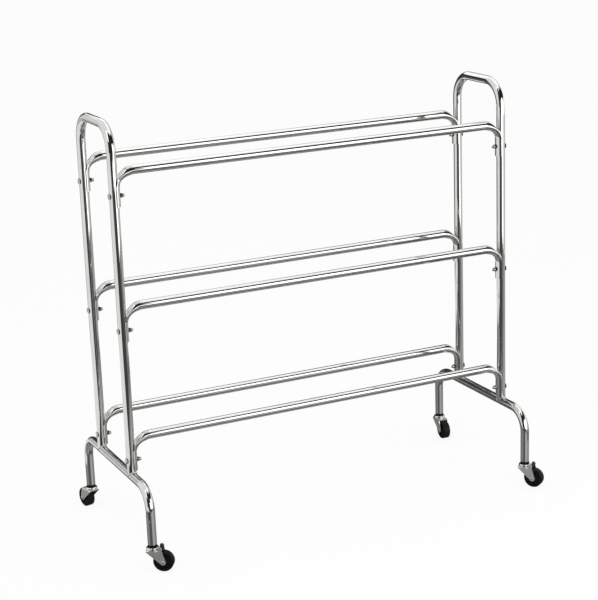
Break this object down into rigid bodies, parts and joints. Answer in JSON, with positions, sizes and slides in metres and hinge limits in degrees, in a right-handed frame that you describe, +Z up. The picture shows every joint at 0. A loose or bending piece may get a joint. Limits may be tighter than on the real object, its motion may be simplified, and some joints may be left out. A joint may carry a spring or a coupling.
{
  "type": "ball cart",
  "caption": "Rolling rack for sports balls: end hoops of bent chromed tube joined by paired rails in tiers, on splayed legs with swivel casters.",
  "frame": {"origin": "middle of the whole cart on the floor, at the bottom centre of its box", "axes": "+X along the rails to the right end seen from the front, +Y from front to rear, +Z up"},
  "size_m": [1.108, 0.5384, 1.0636],
  "materials": {
    "chrome_tube": "bright chrome plate on bent steel tube",
    "plated_hardware": "bright plated bolts and cap nuts",
    "zinc_steel": "zinc plated pressed steel",
    "wheel_rubber": "black moulded rubber, satin",
    "black_plastic": "black moulded plastic"
  },
  "bodies": {
    "frame": {"hoop_left": "chrome_tube", "hoop_right": "chrome_tube", "base_tube_left": "chrome_tube", "base_tube_right": "chrome_tube", "rail_bottom_front": "chrome_tube", "rail_bottom_rear": "chrome_tube", "rail_middle_front": "chrome_tube", "rail_middle_rear": "chrome_tube", "rail_top_front": "chrome_tube", "rail_top_rear": "chrome_tube", "bolt_bottom_front_left": "plated_hardware", "bolt_bottom_front_right": "plated_hardware", "bolt_bottom_rear_left": "plated_hardware", "bolt_bottom_rear_right": "plated_hardware", "bolt_middle_front_left": "plated_hardware", "bolt_middle_front_right": "plated_hardware", "bolt_middle_rear_left": "plated_hardware", "bolt_middle_rear_right": "plated_hardware", "bolt_top_front_left": "plated_hardware", "bolt_top_front_right": "plated_hardware", "bolt_top_rear_left": "plated_hardware", "bolt_top_rear_right": "plated_hardware", "cap_nut_bottom_front_left": "plated_hardware", "cap_nut_bottom_front_right": "plated_hardware", "cap_nut_bottom_rear_left": "plated_hardware", "cap_nut_bottom_rear_right": "plated_hardware", "cap_nut_middle_front_left": "plated_hardware", "cap_nut_middle_front_right": "plated_hardware", "cap_nut_middle_rear_left": "plated_hardware", "cap_nut_middle_rear_right": "plated_hardware", "cap_nut_top_front_left": "plated_hardware", "cap_nut_top_front_right": "plated_hardware", "cap_nut_top_rear_left": "plated_hardware", "cap_nut_top_rear_right": "plated_hardware", "caster_socket_front_left": "black_plastic", "caster_stem_front_left": "zinc_steel", "caster_cup_front_left": "zinc_steel", "caster_socket_front_right": "black_plastic", "caster_stem_front_right": "zinc_steel", "caster_cup_front_right": "zinc_steel", "caster_socket_rear_left": "black_plastic", "caster_stem_rear_left": "zinc_steel", "caster_cup_rear_left": "zinc_steel", "caster_socket_rear_right": "black_plastic", "caster_stem_rear_right": "zinc_steel", "caster_cup_rear_right": "zinc_steel"},
    "fork_front_left": {"caster_fork_front_left": "zinc_steel", "caster_axle_front_left": "zinc_steel"},
    "wheel_front_left": {"caster_wheel_front_left": "wheel_rubber"},
    "brake_front_left": {"brake_lever_front_left": "black_plastic"},
    "fork_front_right": {"caster_fork_front_right": "zinc_steel", "caster_axle_front_right": "zinc_steel"},
    "wheel_front_right": {"caster_wheel_front_right": "wheel_rubber"},
    "brake_front_right": {"brake_lever_front_right": "black_plastic"},
    "fork_rear_left": {"caster_fork_rear_left": "zinc_steel", "caster_axle_rear_left": "zinc_steel"},
    "wheel_rear_left": {"caster_wheel_rear_left": "wheel_rubber"},
    "fork_rear_right": {"caster_fork_rear_right": "zinc_steel", "caster_axle_rear_right": "zinc_steel"},
    "wheel_rear_right": {"caster_wheel_rear_right": "wheel_rubber"}
  },
  "joints": [
    {"name": "swivel_front_left", "type": "hinge", "parent": "frame", "child": "fork_front_left", "pos_m": [-0.53218, -0.2225, 0.0555], "axis": [0, 0, 1], "continuous": true},
    {"name": "roll_front_left", "type": "hinge", "parent": "fork_front_left", "child": "wheel_front_left", "pos_m": [-0.51063, -0.23704, 0.025], "axis": [0.5592, 0.829, 0], "continuous": true},
    {"name": "brake_front_left", "type": "hinge", "parent": "fork_front_left", "child": "brake_front_left", "pos_m": [-0.5156, -0.23368, 0.0584], "axis": [0.5592, 0.829, 0], "range_deg": [0, 45]},
    {"name": "swivel_front_right", "type": "hinge", "parent": "frame", "child": "fork_front_right", "pos_m": [0.51782, -0.2225, 0.0555], "axis": [0, 0, 1], "continuous": true},
    {"name": "roll_front_right", "type": "hinge", "parent": "fork_front_right", "child": "wheel_front_right", "pos_m": [0.53273, -0.2438, 0.025], "axis": [0.8192, 0.5736, 0], "continuous": true},
    {"name": "brake_front_right", "type": "hinge", "parent": "fork_front_right", "child": "brake_front_right", "pos_m": [0.52929, -0.23888, 0.0584], "axis": [0.8192, 0.5736, 0], "range_deg": [0, 45]},
    {"name": "swivel_rear_left", "type": "hinge", "parent": "frame", "child": "fork_rear_left", "pos_m": [-0.53218, 0.2175, 0.0555], "axis": [0, 0, 1], "continuous": true},
    {"name": "roll_rear_left", "type": "hinge", "parent": "fork_rear_left", "child": "wheel_rear_left", "pos_m": [-0.53759, 0.24293, 0.025], "axis": [-0.9781, -0.2079, 0], "continuous": true},
    {"name": "swivel_rear_right", "type": "hinge", "parent": "frame", "child": "fork_rear_right", "pos_m": [0.51782, 0.2175, 0.0555], "axis": [0, 0, 1], "continuous": true},
    {"name": "roll_rear_right", "type": "hinge", "parent": "fork_rear_right", "child": "wheel_rear_right", "pos_m": [0.51601, 0.19156, 0.025], "axis": [0.9976, -0.0698, 0], "continuous": true}
  ]
}
